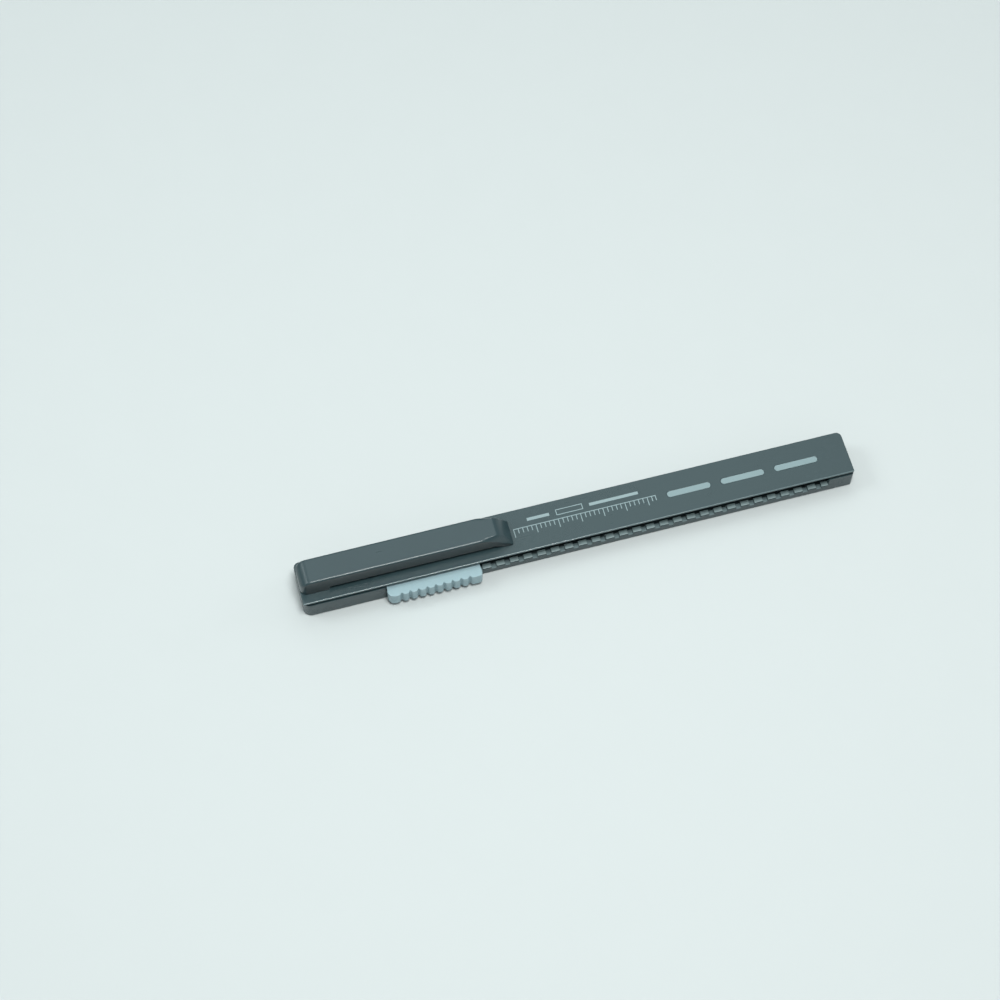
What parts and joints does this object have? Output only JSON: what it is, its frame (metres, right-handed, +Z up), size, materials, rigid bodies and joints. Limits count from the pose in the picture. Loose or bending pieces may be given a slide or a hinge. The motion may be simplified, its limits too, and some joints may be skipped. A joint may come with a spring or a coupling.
{
  "type": "slide eraser holder",
  "caption": "Slim flat drafting eraser holder: a grooved side thumb slide pushes a flat eraser stick out of the mouth; long pocket clip and sight windows on the face.",
  "frame": {"origin": "centre of the flat bottom face, the face opposite the pocket clip", "axes": "+X along the holder to the mouth, -Y to the thumb slide, +Z up through the cover to the pocket clip"},
  "size_m": [0.1234, 0.0126, 0.0113],
  "materials": {
    "case_plastic": "fine satin moulding grain, dark grey",
    "clip_plastic": "satin top, glossier sides, near black",
    "inner_plastic": "plain moulded, black",
    "slide_plastic": "smooth moulded, pale blue-grey",
    "frosted_plastic": "frosted, milky",
    "eraser_rubber": "soft white vinyl, powdery",
    "spring_steel": "rolled spring strip"
  },
  "bodies": {
    "case": {"lower_case": "case_plastic", "top_cover": "case_plastic", "window_strip": "frosted_plastic", "mouth_guide": "inner_plastic", "clip_foot": "clip_plastic"},
    "clip": {"pocket_clip": "clip_plastic"},
    "sled": {"carriage": "inner_plastic", "upper_jaw": "inner_plastic", "lower_jaw": "inner_plastic", "latch_spring": "spring_steel"},
    "slide": {"thumb_slide": "slide_plastic", "latch_plate": "inner_plastic"},
    "eraser": {"eraser": "eraser_rubber"}
  },
  "joints": [
    {"name": "eraser_advance", "type": "slide", "parent": "case", "child": "sled", "axis": [1, 0, 0], "range_m": [0, 0.0767]},
    {"name": "thumb_press", "type": "slide", "parent": "sled", "child": "slide", "axis": [0, 1, 0], "range_m": [0, 0.0005], "stiffness_N_per_m": 2000, "springref_m": -0.0002, "deforming": ["latch_spring"]},
    {"name": "clip_lift", "type": "hinge", "parent": "case", "child": "clip", "pos_m": [-0.0597, 0, 0.0063], "axis": [0, -1, 0], "range_deg": [0, 3], "stiffness_Nm_per_rad": 8, "springref_deg": -0.57},
    {"name": "refill_pull", "type": "slide", "parent": "sled", "child": "eraser", "axis": [1, 0, 0], "range_m": [0, 0.09]}
  ]
}
